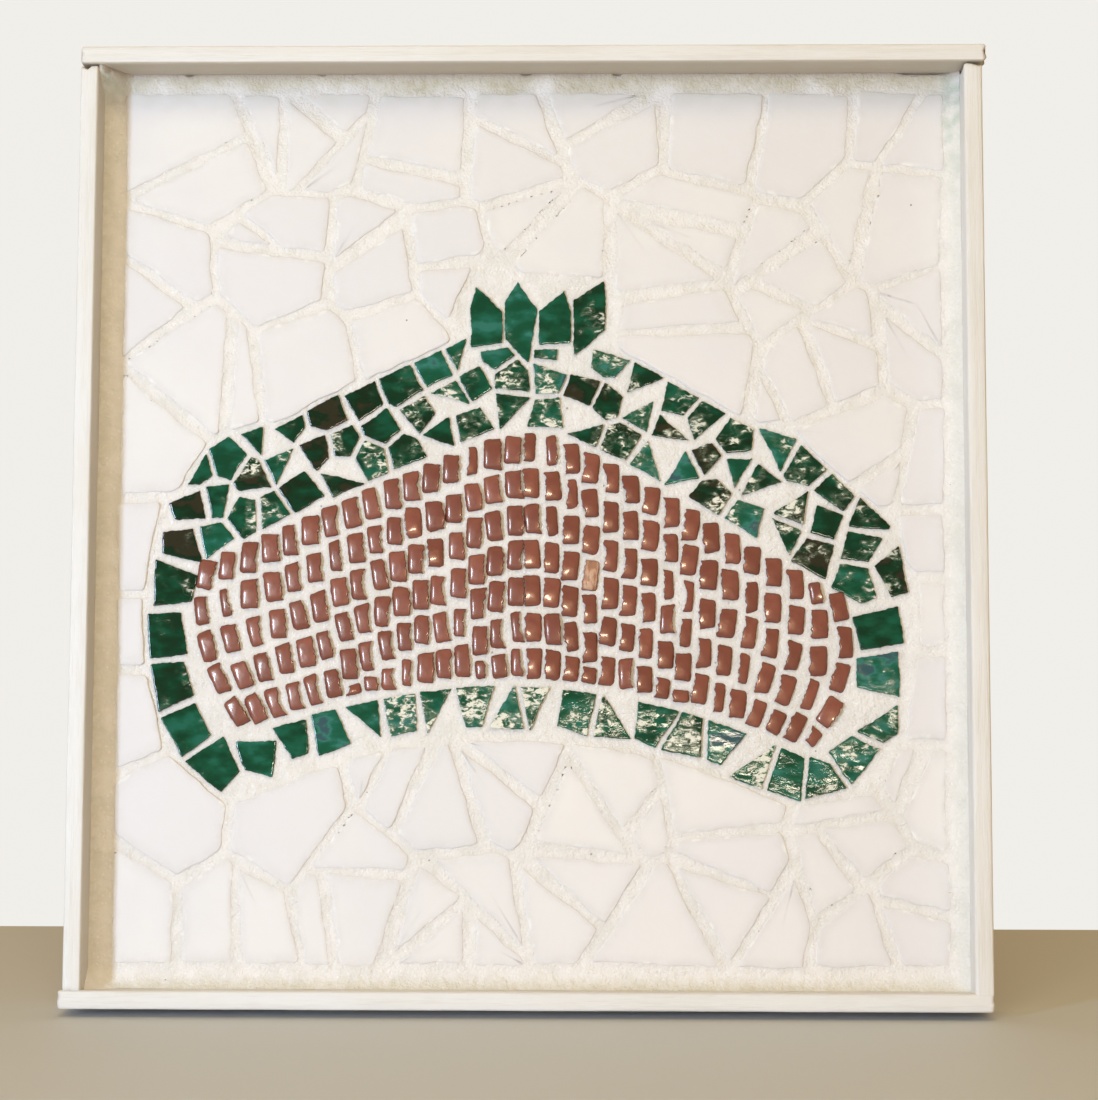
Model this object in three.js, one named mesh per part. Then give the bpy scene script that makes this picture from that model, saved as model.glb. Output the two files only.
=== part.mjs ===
// A mosaic panel: broken white glass laid as crazy paving round an arched motif, grouted on a board inside
// a shallow frame of four painted strips. Millimetres, +Z up. X runs along the panel and its face looks
// along -Y. The backs of the board and of the strips lie in the plane y = 0, with the origin in its middle.
import * as THREE from "three";

// ---- driving dimensions, mm ----
const BODY_WIDTH = 305; // over the two stiles
const BODY_HEIGHT = 323.4; // over the two rails
const STRIP_THICKNESS = 6.35;
const STRIP_DEPTH = 25.4;
const STRIP_EDGE = 0.9; // radius on the strips' long edges
const RAIL_OVERHANG = 1.5; // each rail runs this far past one stile
const BOARD_THICKNESS = 6;
const GLASS_THICKNESS = 4;
const GLASS_ARRIS = 0.4; // the bevel that breaks each shard's edges
const GROUT_BELOW_GLASS = 0.6; // how far the glass stands proud of the grout
const CLEARANCE = 0.3; // between pieces that meet

// The paved area, which stops short of the frame by a margin of grout.
const PAVED = { left: -140.5, right: 141.5, bottom: -149, top: 150 };

// The arched motif in the middle, which the paving stops at.
const FIELD = { peak: 32, peakWidth: 12, leftSlope: 0.45, rightSlope: 0.6, floor: -52.5, tilt: -0.039, bow: 0.00232 };
const BORDER = { above: 37, aboveTilt: 0.025, below: 18.5 };
const CROWN = { left: -20.5, right: 26, foot: 40, top: 84 };
const LEFT_END = { start: -96, reach: 33, middle: -32, half: 60 };
const RIGHT_END = { start: 93, reach: 36, middle: -37, half: 57 };
const STATIONS = [-128.5, -124, -116, -104, -88, -66, -44, -21, 0, 26, 48, 70, 90, 106, 118, 125, 128.5];

// How the sheets of glass were broken.
const PAVING = {
  seed: 455,
  columns: 8,
  rows: 8,
  stagger: 0.25, // of a column, left and right in turn
  scatter: 0.36, // of a column or row
  plateSize: 1050, // mm2, above about which a plate is snapped in two
  smallestShard: 40, // mm2
  shortestSide: 3,
  jointLow: 0.9, // each side is nibbled back by this much
  jointHigh: 2.3, // to this much
  sideTilt: 0.05,
};
const END_COLUMN = { inset: 3.5, start: -62, step: 26, count: 4, scatter: 6, spacing: 16 };
const SHARDS_MODELLED = 54; // the largest; the smaller glass is laid over the grout bed's plain middle

// ---- planes across the panel ----
const INNER_X = BODY_WIDTH / 2 - STRIP_THICKNESS;
const INNER_Z = BODY_HEIGHT / 2 - STRIP_THICKNESS;
const BOARD_FACE = -BOARD_THICKNESS;
const GLASS_BACK = BOARD_FACE - CLEARANCE;
const GLASS_FACE = GLASS_BACK - GLASS_THICKNESS;
const GROUT_FACE = GLASS_FACE + GROUT_BELOW_GLASS;

// ---- repeatable chance ----
function makeDice(seed) {
  let state = seed;
  const roll = () => {
    state = (state * 1664525 + 1013904223) % 4294967296;
    return state / 4294967296;
  };
  return { between: (low, high) => low + (high - low) * roll() };
}

// ---- convex outlines, each a list of [x, z] that runs anticlockwise ----

// The part of an outline on the near side of a line through (px, pz) whose far side lies along (nx, nz).
function cut(outline, px, pz, nx, nz) {
  const kept = [];
  outline.forEach(([ax, az], i) => {
    const [bx, bz] = outline[(i + 1) % outline.length];
    const da = (ax - px) * nx + (az - pz) * nz;
    const db = (bx - px) * nx + (bz - pz) * nz;
    if (da <= 0) kept.push([ax, az]);
    if (da * db < 0) {
      const share = da / (da - db);
      kept.push([ax + (bx - ax) * share, az + (bz - az) * share]);
    }
  });
  return kept;
}

function areaOf(outline) {
  let total = 0;
  outline.forEach(([ax, az], i) => {
    const [bx, bz] = outline[(i + 1) % outline.length];
    total += ax * bz - bx * az;
  });
  return total / 2;
}

function middleOf(outline) {
  let x = 0;
  let z = 0;
  for (const [px, pz] of outline) {
    x += px;
    z += pz;
  }
  return [x / outline.length, z / outline.length];
}

// The longest distance between two corners, and its direction.
function longestOf(outline) {
  let best = [0, 0, 0];
  outline.forEach(([ax, az], i) => {
    for (const [bx, bz] of outline.slice(i + 1)) {
      const length = Math.hypot(bx - ax, bz - az);
      if (length > best[0]) best = [length, (bx - ax) / length, (bz - az) / length];
    }
  });
  return best;
}

function contains(outline, x, z) {
  return outline.every(([ax, az], i) => {
    const [bx, bz] = outline[(i + 1) % outline.length];
    return (x - ax) * (bz - az) + (z - az) * (ax - bx) <= 0;
  });
}

// ---- the motif, as convex blocks side by side ----
function fieldTop(x) {
  const slope = x < 0 ? FIELD.leftSlope : FIELD.rightSlope;
  return FIELD.peak - slope * (Math.hypot(x, FIELD.peakWidth) - FIELD.peakWidth);
}

function fieldBottom(x) {
  return FIELD.floor + FIELD.tilt * x - FIELD.bow * x * x;
}

// How far the motif's rounded ends reach up and down at x.
function endSpan(x) {
  const end = x < 0 ? LEFT_END : RIGHT_END;
  const past = (x < 0 ? end.start - x : x - end.start) / end.reach;
  if (past <= 0) return [-Infinity, Infinity];
  const half = end.half * Math.sqrt(Math.max(0, 1 - past * past));
  return [end.middle - half, end.middle + half];
}

// Each block has its outline and the numbers of its sides that are on the motif's outside.
function motifBlocks() {
  const bottomAt = (x) => Math.max(endSpan(x)[0], fieldBottom(x) - BORDER.below);
  const topAt = (x) => Math.min(endSpan(x)[1], fieldTop(x) + BORDER.above + BORDER.aboveTilt * x);
  const blocks = [];
  for (let i = 0; i + 1 < STATIONS.length; i += 1) {
    const left = STATIONS[i];
    const right = STATIONS[i + 1];
    const outside = [0, 2];
    if (i === 0) outside.push(3);
    if (i + 2 === STATIONS.length) outside.push(1);
    const outline = [[left, bottomAt(left)], [right, bottomAt(right)], [right, topAt(right)], [left, topAt(left)]];
    blocks.push({ outline, outside });
  }
  const crown = [[CROWN.left, CROWN.foot], [CROWN.right, CROWN.foot], [CROWN.right, CROWN.top], [CROWN.left, CROWN.top]];
  blocks.push({ outline: crown, outside: [1, 2, 3] });
  return blocks;
}

// The point of the motif's outside nearest to (x, z), and how far it is.
function nearestOutside(x, z, blocks) {
  let best = [Infinity, 0, 0];
  for (const { outline, outside } of blocks) {
    for (const i of outside) {
      const [ax, az] = outline[i];
      const [bx, bz] = outline[(i + 1) % outline.length];
      const dx = bx - ax;
      const dz = bz - az;
      const along = Math.min(1, Math.max(0, ((x - ax) * dx + (z - az) * dz) / (dx * dx + dz * dz)));
      const px = ax + dx * along;
      const pz = az + dz * along;
      const gap = Math.hypot(x - px, z - pz);
      if (gap < best[0]) best = [gap, px, pz];
    }
  }
  return best;
}

// Cuts an outline clear of a block, along the outside of the block that leaves the most.
function clearOf(outline, block) {
  let shared = outline;
  block.outline.forEach(([ax, az], i) => {
    const [bx, bz] = block.outline[(i + 1) % block.outline.length];
    shared = cut(shared, ax, az, bz - az, ax - bx);
  });
  if (shared.length < 3 || areaOf(shared) < 1e-6) return outline;
  let best = [];
  for (const i of block.outside) {
    const [ax, az] = block.outline[i];
    const [bx, bz] = block.outline[(i + 1) % block.outline.length];
    const part = cut(outline, ax, az, az - bz, bx - ax);
    if (part.length > 2 && (best.length < 3 || areaOf(part) > areaOf(best))) best = part;
  }
  return best;
}

// ---- the crazy paving ----

// Where each plate of glass was set down, with mirror points inside the motif that hold the plates out of it.
function plateSites(dice, blocks) {
  const sites = [];
  const mirrored = [];
  const add = (x, z, [, px, pz]) => {
    sites.push([x, z]);
    mirrored.push([2 * px - x, 2 * pz - z]);
  };
  const pitchX = (PAVED.right - PAVED.left) / PAVING.columns;
  const pitchZ = (PAVED.top - PAVED.bottom) / PAVING.rows;
  for (let row = 0; row < PAVING.rows; row += 1) {
    for (let column = 0; column < PAVING.columns; column += 1) {
      const stagger = row % 2 ? PAVING.stagger : -PAVING.stagger;
      const across = column + 0.5 + stagger + dice.between(-PAVING.scatter, PAVING.scatter);
      const up = row + 0.5 + dice.between(-PAVING.scatter, PAVING.scatter);
      const x = Math.min(PAVED.right - 5, Math.max(PAVED.left + 5, PAVED.left + pitchX * across));
      const z = PAVED.bottom + pitchZ * up;
      const nearest = nearestOutside(x, z, blocks);
      if (nearest[0] < 5 || blocks.some((block) => contains(block.outline, x, z))) continue;
      if (nearest[0] < 60) add(x, z, nearest);
      else sites.push([x, z]);
    }
  }
  for (const x of [PAVED.left + END_COLUMN.inset, PAVED.right - END_COLUMN.inset]) {
    for (let i = 0; i < END_COLUMN.count; i += 1) {
      const z = END_COLUMN.start + END_COLUMN.step * i + dice.between(-END_COLUMN.scatter, END_COLUMN.scatter);
      const free = sites.every(([sx, sz]) => Math.hypot(x - sx, z - sz) > END_COLUMN.spacing);
      if (free) add(x, z, nearestOutside(x, z, blocks));
    }
  }
  return { sites, mirrored };
}

// The plate round one site: all that lies nearer to it than to any other.
function plateAt(site, others, blocks) {
  let plate = [
    [PAVED.left, PAVED.bottom],
    [PAVED.right, PAVED.bottom],
    [PAVED.right, PAVED.top],
    [PAVED.left, PAVED.top],
  ];
  for (const other of others) {
    if (other === site) continue;
    const middle = [(site[0] + other[0]) / 2, (site[1] + other[1]) / 2];
    plate = cut(plate, middle[0], middle[1], other[0] - site[0], other[1] - site[1]);
  }
  for (const block of blocks) {
    if (plate.length > 2) plate = clearOf(plate, block);
  }
  return plate;
}

// Snaps a plate across its length, and the halves again, down to the size wanted.
function snap(plate, dice) {
  const turn = dice.between(-0.75, 0.75);
  const shift = dice.between(-0.16, 0.16);
  if (areaOf(plate) < PAVING.plateSize * dice.between(0.55, 1.3)) return [plate];
  const [length, ux, uz] = longestOf(plate);
  const nx = ux * Math.cos(turn) - uz * Math.sin(turn);
  const nz = ux * Math.sin(turn) + uz * Math.cos(turn);
  const [mx, mz] = middleOf(plate);
  const px = mx + ux * length * shift;
  const pz = mz + uz * length * shift;
  const near = cut(plate, px, pz, nx, nz);
  const far = cut(plate, px, pz, -nx, -nz);
  return [...snap(near, dice), ...snap(far, dice)];
}

// Drops the start of each side too short to see.
function withoutShortSides(outline) {
  const kept = outline.filter(([ax, az], i) => {
    const [bx, bz] = outline[(i + 1) % outline.length];
    return Math.hypot(bx - ax, bz - az) > PAVING.shortestSide;
  });
  return kept.length > 2 ? kept : outline;
}

// Nibbles each side back to leave the joint.
function nibble(outline, dice) {
  let left = outline;
  outline.forEach(([ax, az], i) => {
    const [bx, bz] = outline[(i + 1) % outline.length];
    const length = Math.hypot(bx - ax, bz - az);
    const nx = (bz - az) / length;
    const nz = (ax - bx) / length;
    const by = dice.between(PAVING.jointLow, PAVING.jointHigh);
    const tilt = dice.between(-PAVING.sideTilt, PAVING.sideTilt);
    left = cut(left, (ax + bx) / 2 - nx * by, (az + bz) / 2 - nz * by, nx - nz * tilt, nz + nx * tilt);
  });
  return left;
}

function layPaving() {
  const dice = makeDice(PAVING.seed);
  const blocks = motifBlocks();
  const { sites, mirrored } = plateSites(dice, blocks);
  const broken = [];
  for (const site of sites) {
    const plate = plateAt(site, [...sites, ...mirrored], blocks);
    if (plate.length < 3 || areaOf(plate) < 90) continue;
    broken.push(...snap(plate, dice));
  }
  const shards = [];
  for (const piece of broken) {
    const shard = nibble(withoutShortSides(piece), dice);
    if (shard.length > 2 && areaOf(shard) > PAVING.smallestShard) shards.push(shard);
  }
  return shards;
}

function largest(shards, count) {
  const bySize = [...shards].sort((a, b) => areaOf(b) - areaOf(a));
  const smallest = areaOf(bySize[count - 1]);
  return shards.filter((shard) => areaOf(shard) >= smallest);
}

// ---- materials ----
const PAINTED_WOOD = { color: 0xf4f1ea, roughness: 0.5, metalness: 0 };
const BOARD = { color: 0xb9905f, roughness: 0.8, metalness: 0 };
const GROUT = { color: 0xe6ddcc, roughness: 0.9, metalness: 0 };
const WHITE_GLASS = { color: 0xf0eaea, roughness: 0.2, metalness: 0 };

function piece(name, geometry, finish) {
  const mesh = new THREE.Mesh(geometry, new THREE.MeshStandardMaterial(finish));
  mesh.name = name;
  return mesh;
}

// ---- frame ----

// A strip's section, with rounded corners, centred across its thickness and running back from its front edge.
function stripSection() {
  const half = STRIP_THICKNESS / 2;
  const r = STRIP_EDGE;
  const section = new THREE.Shape();
  section.moveTo(-half + r, 0);
  section.lineTo(half - r, 0);
  section.absarc(half - r, r, r, -Math.PI / 2, 0, false);
  section.absarc(half - r, STRIP_DEPTH - r, r, 0, Math.PI / 2, false);
  section.absarc(-half + r, STRIP_DEPTH - r, r, Math.PI / 2, Math.PI, false);
  section.absarc(-half + r, r, r, Math.PI, Math.PI * 1.5, false);
  return section;
}

function strip(name, length) {
  const geometry = new THREE.ExtrudeGeometry(stripSection(), { depth: length, bevelEnabled: false, curveSegments: 3 });
  geometry.translate(0, -STRIP_DEPTH, -length / 2);
  return piece(name, geometry, PAINTED_WOOD);
}

function rail(name, left, right, z) {
  const mesh = strip(name, right - left);
  mesh.rotation.y = Math.PI / 2;
  mesh.position.set((left + right) / 2, 0, z);
  return mesh;
}

function stile(name, x) {
  const mesh = strip(name, 2 * (INNER_Z - CLEARANCE));
  mesh.position.set(x, 0, 0);
  return mesh;
}

function frame() {
  const group = new THREE.Group();
  const side = BODY_WIDTH / 2;
  const railZ = INNER_Z + STRIP_THICKNESS / 2;
  const stileX = INNER_X + STRIP_THICKNESS / 2;
  group.add(rail("frame_rail_top", -side, side + RAIL_OVERHANG, railZ));
  group.add(rail("frame_rail_bottom", -side - RAIL_OVERHANG, side, -railZ));
  group.add(stile("frame_stile_left", -stileX));
  group.add(stile("frame_stile_right", stileX));
  return group;
}

// ---- board, grout and glass ----

// Stands an outline up in the panel as a slab from its back plane to its face plane.
function slab(shape, back, face, bevel) {
  const settings = { depth: back - face - 2 * bevel, bevelEnabled: bevel > 0, bevelSegments: 1 };
  if (bevel > 0) Object.assign(settings, { bevelThickness: bevel, bevelSize: bevel, bevelOffset: -bevel });
  const geometry = new THREE.ExtrudeGeometry(shape, settings);
  geometry.rotateX(Math.PI / 2);
  geometry.translate(0, back - bevel, 0);
  return geometry;
}

function shapeOf(outline) {
  return new THREE.Shape(outline.map(([x, z]) => new THREE.Vector2(x, z)));
}

function insideFrame() {
  const x = INNER_X - CLEARANCE;
  const z = INNER_Z - CLEARANCE;
  return shapeOf([[-x, -z], [x, -z], [x, z], [-x, z]]);
}

// The outline moved out by a distance, for the socket that a shard sits in.
function socket(outline, by) {
  return outline.map(([x, z], i) => {
    const [px, pz] = outline[(i + outline.length - 1) % outline.length];
    const [nx, nz] = outline[(i + 1) % outline.length];
    const before = new THREE.Vector2(z - pz, px - x).normalize();
    const after = new THREE.Vector2(nz - z, x - nx).normalize();
    const corner = before.clone().add(after);
    const reach = (2 * by) / corner.lengthSq();
    return [x + corner.x * reach, z + corner.y * reach];
  });
}

function groutBed(shards) {
  const shape = insideFrame();
  for (const shard of shards) {
    shape.holes.push(new THREE.Path(shapeOf(socket(shard, CLEARANCE)).getPoints()));
  }
  return piece("grout_bed", slab(shape, GLASS_BACK, GROUT_FACE, 0), GROUT);
}

function whiteShard(outline, number) {
  const name = `white_shard_${String(number).padStart(2, "0")}`;
  return piece(name, slab(shapeOf(outline), GLASS_BACK, GLASS_FACE, GLASS_ARRIS), WHITE_GLASS);
}

const panel = new THREE.Group();
const shards = largest(layPaving(), SHARDS_MODELLED);
panel.add(frame());
panel.add(piece("backing_board", slab(insideFrame(), 0, BOARD_FACE, 0), BOARD));
panel.add(groutBed(shards));
shards.forEach((outline, i) => panel.add(whiteShard(outline, i + 1)));

export default panel;
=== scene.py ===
from math import atan2, ceil, cos, hypot, inf, pi, radians, sin, sqrt, tan

import bpy
import numpy as np
from mathutils import Matrix, Vector, noise


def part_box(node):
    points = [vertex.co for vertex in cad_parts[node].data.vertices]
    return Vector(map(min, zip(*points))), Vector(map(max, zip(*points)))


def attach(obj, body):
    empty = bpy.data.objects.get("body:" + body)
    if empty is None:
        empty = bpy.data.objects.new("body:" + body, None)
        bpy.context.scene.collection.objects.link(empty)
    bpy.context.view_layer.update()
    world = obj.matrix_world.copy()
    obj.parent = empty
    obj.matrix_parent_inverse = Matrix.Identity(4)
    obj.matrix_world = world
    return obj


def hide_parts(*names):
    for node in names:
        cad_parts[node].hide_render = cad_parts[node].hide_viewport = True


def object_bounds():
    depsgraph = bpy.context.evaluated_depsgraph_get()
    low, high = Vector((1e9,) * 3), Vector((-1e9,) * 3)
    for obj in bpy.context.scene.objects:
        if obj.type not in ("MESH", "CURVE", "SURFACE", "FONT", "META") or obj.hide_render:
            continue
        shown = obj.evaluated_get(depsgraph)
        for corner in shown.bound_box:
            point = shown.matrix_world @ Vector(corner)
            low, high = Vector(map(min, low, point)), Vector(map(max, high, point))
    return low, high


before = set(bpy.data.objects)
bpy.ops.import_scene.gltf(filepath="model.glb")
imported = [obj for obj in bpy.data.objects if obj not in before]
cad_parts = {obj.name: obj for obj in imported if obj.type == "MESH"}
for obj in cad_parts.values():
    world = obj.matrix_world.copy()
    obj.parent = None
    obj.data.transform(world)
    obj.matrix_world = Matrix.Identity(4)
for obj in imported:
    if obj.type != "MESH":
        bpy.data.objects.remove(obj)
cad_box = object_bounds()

# A mosaic panel: white crazy paving round an arched band of small brown tiles with a green glass border,
# grouted on a board in a shallow frame of four painted strips. The layout below works in millimetres across
# the panel, x to the right and z up, as the frame's own source does. Heights are millimetres from the back of
# the grout towards the viewer. Meshes are in metres, and the panel's face looks along -Y.
MM = 0.001


# ---- the frame's own planes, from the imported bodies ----
def span(node):
    low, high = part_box(node)
    return [v / MM for v in low], [v / MM for v in high]


SHARD_NODES = sorted(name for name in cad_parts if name.startswith("white_shard_"))
GROUT_LOW, GROUT_HIGH = span("grout_bed")
GLASS_LOW, GLASS_HIGH = span(SHARD_NODES[0])
STILE_LEFT, STILE_RIGHT = span("frame_stile_left"), span("frame_stile_right")
RAIL_TOP, RAIL_BOTTOM = span("frame_rail_top"), span("frame_rail_bottom")
BACK_Y = GROUT_HIGH[1]  # the plane the grout and the glass are bedded on
GLASS_THICK = GLASS_HIGH[1] - GLASS_LOW[1]
GROUT_THICK = GROUT_HIGH[1] - GROUT_LOW[1]

# ---- the layout's driving sizes, the same as the frame's ----
PAVED_LEFT, PAVED_RIGHT, PAVED_BOTTOM, PAVED_TOP = -140.5, 141.5, -149, 150
FIELD_PEAK, FIELD_PEAK_WIDTH, FIELD_LEFT_SLOPE, FIELD_RIGHT_SLOPE = 32, 12, 0.45, 0.6
FIELD_FLOOR, FIELD_TILT, FIELD_BOW = -52.5, -0.039, 0.00232
BORDER_ABOVE, BORDER_ABOVE_TILT, BORDER_BELOW = 37, 0.025, 18.5
CROWN_LEFT, CROWN_RIGHT, CROWN_FOOT, CROWN_TOP = -20.5, 26, 40, 84
BORDER_ENDS = ((-96, 33, -32, 60), (93, 36, -37, 57))  # start, reach, middle and half height
BORDER_STATIONS = (-128.5, -124, -116, -104, -88, -66, -44, -21, 0, 26, 48, 70, 90, 106, 118, 125, 128.5)
FIELD_ENDS = ((-95, 20, -37, 40), (92, 18, -47, 34))
FIELD_STATIONS = (-115, -112, -106, -98, -85, -65, -45, -25, -8, 8, 28, 48, 68, 86, 96, 104, 108, 110)
PAVING_SEED = 455
PAVING_COLUMNS = PAVING_ROWS = 8
PLATE_SIZE = 1050


# ---- repeatable chance ----
class Dice:
    def __init__(self, seed):
        self.state = seed

    def roll(self):
        self.state = (self.state * 1664525 + 1013904223) % 4294967296
        return self.state / 4294967296

    def between(self, low, high):
        return low + (high - low) * self.roll()


# ---- convex outlines, each a list of (x, z) that runs anticlockwise ----
def sides(outline):
    return zip(outline, outline[1:] + outline[:1])


def cut(outline, px, pz, nx, nz):
    """The part of an outline on the near side of a line through (px, pz) that faces along (nx, nz)."""
    kept = []
    for (ax, az), (bx, bz) in sides(outline):
        da = (ax - px) * nx + (az - pz) * nz
        db = (bx - px) * nx + (bz - pz) * nz
        if da <= 0:
            kept.append((ax, az))
        if da * db < 0:
            share = da / (da - db)
            kept.append((ax + (bx - ax) * share, az + (bz - az) * share))
    return kept


def area_of(outline):
    return sum(ax * bz - bx * az for (ax, az), (bx, bz) in sides(outline)) / 2


def middle_of(outline):
    return sum(x for x, _ in outline) / len(outline), sum(z for _, z in outline) / len(outline)


def longest_of(outline):
    """The longest distance between two corners, and its direction."""
    best = (0, 0, 0)
    for i, (ax, az) in enumerate(outline):
        for bx, bz in outline[i + 1:]:
            length = hypot(bx - ax, bz - az)
            if length > best[0]:
                best = (length, (bx - ax) / length, (bz - az) / length)
    return best


def contains(outline, x, z):
    return all((x - ax) * (bz - az) + (z - az) * (ax - bx) <= 0 for (ax, az), (bx, bz) in sides(outline))


def grown(outline, by):
    """The outline with every side moved out by a distance."""
    result = []
    count = len(outline)
    for i, (x, z) in enumerate(outline):
        px, pz = outline[i - 1]
        qx, qz = outline[(i + 1) % count]
        before, after = hypot(x - px, z - pz), hypot(qx - x, qz - z)
        sx = (z - pz) / before + (qz - z) / after
        sz = (px - x) / before + (x - qx) / after
        reach = 2 * by / (sx * sx + sz * sz)
        result.append((x + sx * reach, z + sz * reach))
    return result


def clear_of(outline, block, outside):
    """Cuts an outline clear of a convex block, along that one of its outside faces that leaves the most."""
    shared = outline
    for (ax, az), (bx, bz) in sides(block):
        shared = cut(shared, ax, az, bz - az, ax - bx)
    if len(shared) < 3 or area_of(shared) < 1e-6:
        return outline
    best = []
    for i in outside:
        (ax, az), (bx, bz) = block[i], block[(i + 1) % len(block)]
        part = cut(outline, ax, az, az - bz, bx - ax)
        if len(part) > 2 and (len(best) < 3 or area_of(part) > area_of(best)):
            best = part
    return best


# ---- the motif's outer and inner outlines ----
def field_top(x):
    slope = FIELD_LEFT_SLOPE if x < 0 else FIELD_RIGHT_SLOPE
    return FIELD_PEAK - slope * (hypot(x, FIELD_PEAK_WIDTH) - FIELD_PEAK_WIDTH)


def field_bottom(x):
    return FIELD_FLOOR + FIELD_TILT * x - FIELD_BOW * x * x


def end_span(x, ends):
    """How far down and up a rounded end reaches at x."""
    start, reach, middle, half = ends[0] if x < 0 else ends[1]
    past = abs(x - start) / reach if abs(x) > abs(start) else 0
    if past <= 0:
        return -inf, inf
    half *= sqrt(max(0, 1 - past * past))
    return middle - half, middle + half


def blocks_between(stations, bottom_at, top_at):
    """Convex blocks side by side, each with its outline and the numbers of its faces on the outside."""
    blocks = []
    for i, (left, right) in enumerate(zip(stations, stations[1:])):
        outside = [0, 2]
        if i == 0:
            outside.append(3)
        if i + 2 == len(stations):
            outside.append(1)
        foot = [(left, bottom_at(left)), (right, bottom_at(right))]
        blocks.append((foot + [(right, top_at(right)), (left, top_at(left))], outside))
    return blocks


def border_blocks():
    blocks = blocks_between(
        BORDER_STATIONS,
        lambda x: max(end_span(x, BORDER_ENDS)[0], field_bottom(x) - BORDER_BELOW),
        lambda x: min(end_span(x, BORDER_ENDS)[1], field_top(x) + BORDER_ABOVE + BORDER_ABOVE_TILT * x),
    )
    left, right = CROWN_LEFT, CROWN_RIGHT
    crown = [(left, CROWN_FOOT), (right, CROWN_FOOT), (right, CROWN_TOP), (left, CROWN_TOP)]
    return blocks + [(crown, [1, 2, 3])]


def field_span(x):
    low, high = end_span(x, FIELD_ENDS)
    return max(low, field_bottom(x)), min(high, field_top(x))


# ---- white crazy paving ----
PLATE_CLEAR = 5  # how far a plate's middle keeps from the motif and from the frame
MIRROR_REACH = 60  # a plate nearer the motif than this gets a mirror point
SIDE_PLATES, SIDE_LOWEST, SIDE_PITCH, SIDE_IN, SIDE_APART = 4, -62, 26, 3.5, 16  # beside the motif's ends
SMALLEST_PLATE, SMALLEST_WHITE = 90, 40
SHORTEST_SIDE = 3


def nearest_outside(x, z, blocks):
    best = (inf, 0, 0)
    for outline, outside in blocks:
        for i in outside:
            (ax, az), (bx, bz) = outline[i], outline[(i + 1) % len(outline)]
            dx, dz = bx - ax, bz - az
            along = min(1, max(0, ((x - ax) * dx + (z - az) * dz) / (dx * dx + dz * dz)))
            px, pz = ax + dx * along, az + dz * along
            gap = hypot(x - px, z - pz)
            if gap < best[0]:
                best = (gap, px, pz)
    return best


def plate_sites(dice, blocks):
    """Where each plate of glass was set down, and mirror points that hold the plates out of the motif."""
    placed, mirrored = [], []

    def add(x, z, nearest):
        placed.append((x, z))
        mirrored.append((2 * nearest[1] - x, 2 * nearest[2] - z))

    pitch_x = (PAVED_RIGHT - PAVED_LEFT) / PAVING_COLUMNS
    pitch_z = (PAVED_TOP - PAVED_BOTTOM) / PAVING_ROWS
    for row in range(PAVING_ROWS):
        for column in range(PAVING_COLUMNS):
            across = column + 0.5 + (0.25 if row % 2 else -0.25) + dice.between(-0.36, 0.36)
            up = row + 0.5 + dice.between(-0.36, 0.36)
            x = PAVED_LEFT + pitch_x * across
            x = min(PAVED_RIGHT - PLATE_CLEAR, max(PAVED_LEFT + PLATE_CLEAR, x))
            z = PAVED_BOTTOM + pitch_z * up
            nearest = nearest_outside(x, z, blocks)
            if nearest[0] < PLATE_CLEAR or any(contains(outline, x, z) for outline, _ in blocks):
                continue
            if nearest[0] < MIRROR_REACH:
                add(x, z, nearest)
            else:
                placed.append((x, z))
    for x in (PAVED_LEFT + SIDE_IN, PAVED_RIGHT - SIDE_IN):
        for i in range(SIDE_PLATES):
            z = SIDE_LOWEST + SIDE_PITCH * i + dice.between(-6, 6)
            if all(hypot(x - sx, z - sz) > SIDE_APART for sx, sz in placed):
                add(x, z, nearest_outside(x, z, blocks))
    return placed, mirrored


def cell_of(site, others, bounds):
    """All of bounds that lies nearer to one site than to any other."""
    cell = bounds
    for other in others:
        if other != site:
            middle = ((site[0] + other[0]) / 2, (site[1] + other[1]) / 2)
            cell = cut(cell, *middle, other[0] - site[0], other[1] - site[1])
    return cell


def snap(plate, dice):
    """Snaps a plate across its length, and the halves again, down to the size wanted."""
    turn = dice.between(-0.75, 0.75)
    shift = dice.between(-0.16, 0.16)
    if area_of(plate) < PLATE_SIZE * dice.between(0.55, 1.3):
        return [plate]
    length, ux, uz = longest_of(plate)
    nx = ux * cos(turn) - uz * sin(turn)
    nz = ux * sin(turn) + uz * cos(turn)
    mx, mz = middle_of(plate)
    px, pz = mx + ux * length * shift, mz + uz * length * shift
    near, far = cut(plate, px, pz, nx, nz), cut(plate, px, pz, -nx, -nz)
    return snap(near, dice) + snap(far, dice)


def without_short_sides(outline):
    kept = [a for a, b in sides(outline) if hypot(b[0] - a[0], b[1] - a[1]) > SHORTEST_SIDE]
    return kept if len(kept) > 2 else outline


def nibble(outline, dice, low, high):
    """Nibbles each side back to leave the joint."""
    left = outline
    for (ax, az), (bx, bz) in sides(outline):
        length = hypot(bx - ax, bz - az)
        nx, nz = (bz - az) / length, (ax - bx) / length
        by = dice.between(low, high)
        tilt = dice.between(-0.05, 0.05)
        left = cut(left, (ax + bx) / 2 - nx * by, (az + bz) / 2 - nz * by, nx - nz * tilt, nz + nx * tilt)
    return left


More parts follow.
